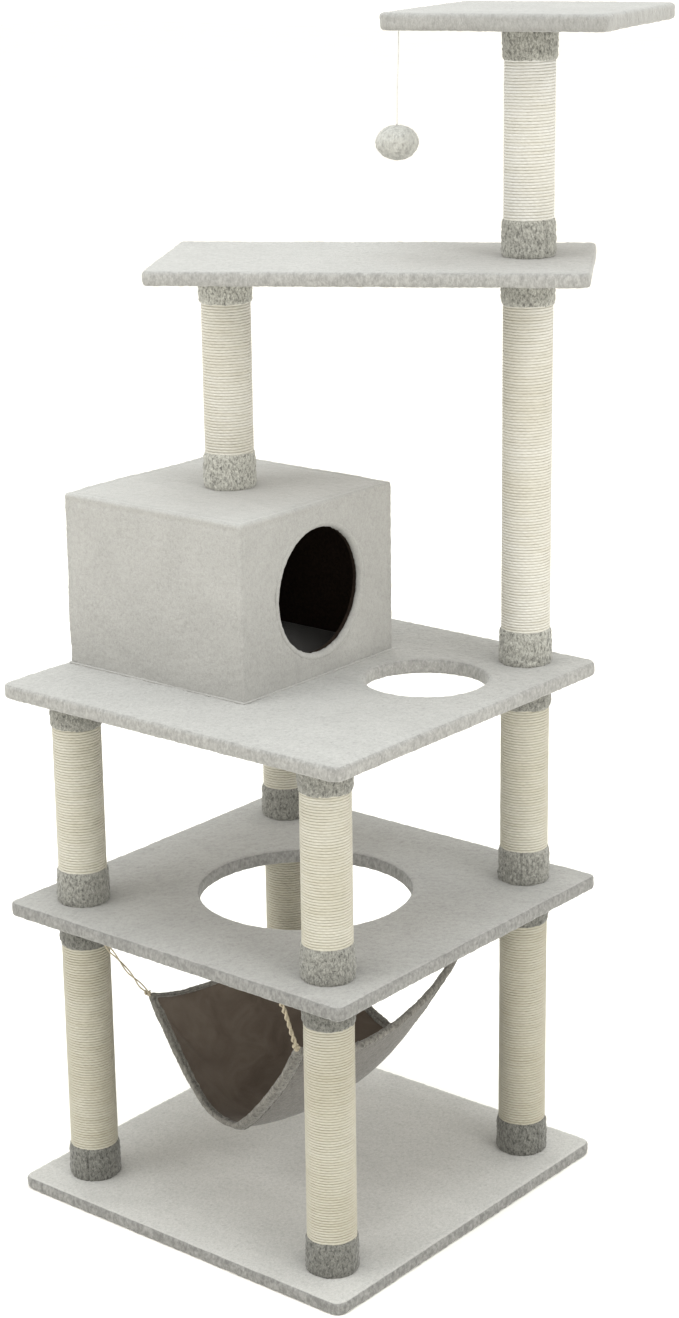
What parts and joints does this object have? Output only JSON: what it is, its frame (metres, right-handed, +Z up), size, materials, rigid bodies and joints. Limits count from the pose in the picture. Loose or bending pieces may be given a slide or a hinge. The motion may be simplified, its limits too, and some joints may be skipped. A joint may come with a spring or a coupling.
{
  "type": "cat tree",
  "caption": "Floor-standing cat tree: plush-covered plates on sisal posts, with a cat house, a hammock slung under a holed shelf, a high perch and a hanging plush ball.",
  "frame": {"origin": "centre of the base board's underside, on the floor", "axes": "+Z up; +X is the side the house entrance faces; +Y is the back, where the tall column stands"},
  "size_m": [0.8831, 0.9161, 2.092],
  "materials": {
    "plush": "short light grey micro-plush, soft and matt with a faint sheen",
    "collar_plush": "darker grey plush sleeve with one upright seam",
    "sisal": "pale natural sisal rope wound in close level turns",
    "chipboard": "raw chipboard",
    "suede": "grey-taupe suede cloth, brushed",
    "cotton_cord": "twisted natural cotton cord",
    "toy_string": "thin white string",
    "zinc_steel": "zinc-plated screw steel"
  },
  "bodies": {
    "tree": {"base_board": "chipboard", "base_cover": "plush", "shelf_board": "chipboard", "shelf_cover": "plush", "platform_board": "chipboard", "platform_cover": "plush", "bridge_board": "chipboard", "bridge_cover": "plush", "perch_board": "chipboard", "perch_cover": "plush", "house_cover": "plush", "house_front_panel": "chipboard", "house_back_panel": "chipboard", "house_left_panel": "chipboard", "house_entrance_panel": "chipboard", "house_roof_panel": "chipboard", "lower_post_front_left": "sisal", "lower_post_front_left_bottom_collar": "collar_plush", "lower_post_front_left_top_collar": "collar_plush", "lower_post_front_right": "sisal", "lower_post_front_right_bottom_collar": "collar_plush", "lower_post_front_right_top_collar": "collar_plush", "lower_post_back_left": "sisal", "lower_post_back_left_bottom_collar": "collar_plush", "lower_post_back_left_top_collar": "collar_plush", "lower_post_back_right": "sisal", "lower_post_back_right_bottom_collar": "collar_plush", "lower_post_back_right_top_collar": "collar_plush", "middle_post_front_left": "sisal", "middle_post_front_left_bottom_collar": "collar_plush", "middle_post_front_left_top_collar": "collar_plush", "middle_post_front_right": "sisal", "middle_post_front_right_bottom_collar": "collar_plush", "middle_post_front_right_top_collar": "collar_plush", "middle_post_back_left": "sisal", "middle_post_back_left_bottom_collar": "collar_plush", "middle_post_back_left_top_collar": "collar_plush", "middle_post_back_right": "sisal", "middle_post_back_right_bottom_collar": "collar_plush", "middle_post_back_right_top_collar": "collar_plush", "tall_post": "sisal", "tall_post_bottom_collar": "collar_plush", "tall_post_top_collar": "collar_plush", "top_post": "sisal", "top_post_bottom_collar": "collar_plush", "top_post_top_collar": "collar_plush", "roof_post": "sisal", "roof_post_bottom_collar": "collar_plush", "roof_post_top_collar": "collar_plush", "platform_stud": "zinc_steel", "bridge_stud": "zinc_steel", "roof_stud": "zinc_steel", "hammock_cord_front_left": "cotton_cord", "hammock_cord_front_right": "cotton_cord", "hammock_cord_back_left": "cotton_cord", "hammock_cord_back_right": "cotton_cord"},
    "hammock": {"hammock_cloth": "suede"},
    "toy_loop": {"toy_knot": "toy_string"},
    "toy": {"toy_string": "toy_string", "toy_ball": "plush"}
  },
  "joints": [
    {"name": "hammock_sway", "type": "slide", "parent": "tree", "child": "hammock", "axis": [1, 0, 0], "range_m": [-0.04, 0.04], "stiffness_N_per_m": 20, "deforming": ["hammock_cord_front_left", "hammock_cord_front_right", "hammock_cord_back_left", "hammock_cord_back_right"]},
    {"name": "toy_swing_along", "type": "hinge", "parent": "tree", "child": "toy_loop", "pos_m": [0.159, 0.084, 2.0663], "axis": [1, 0, 0], "range_deg": [-45, 45]},
    {"name": "toy_swing_across", "type": "hinge", "parent": "toy_loop", "child": "toy", "pos_m": [0.159, 0.084, 2.0663], "axis": [0, 1, 0], "range_deg": [-45, 45]}
  ]
}
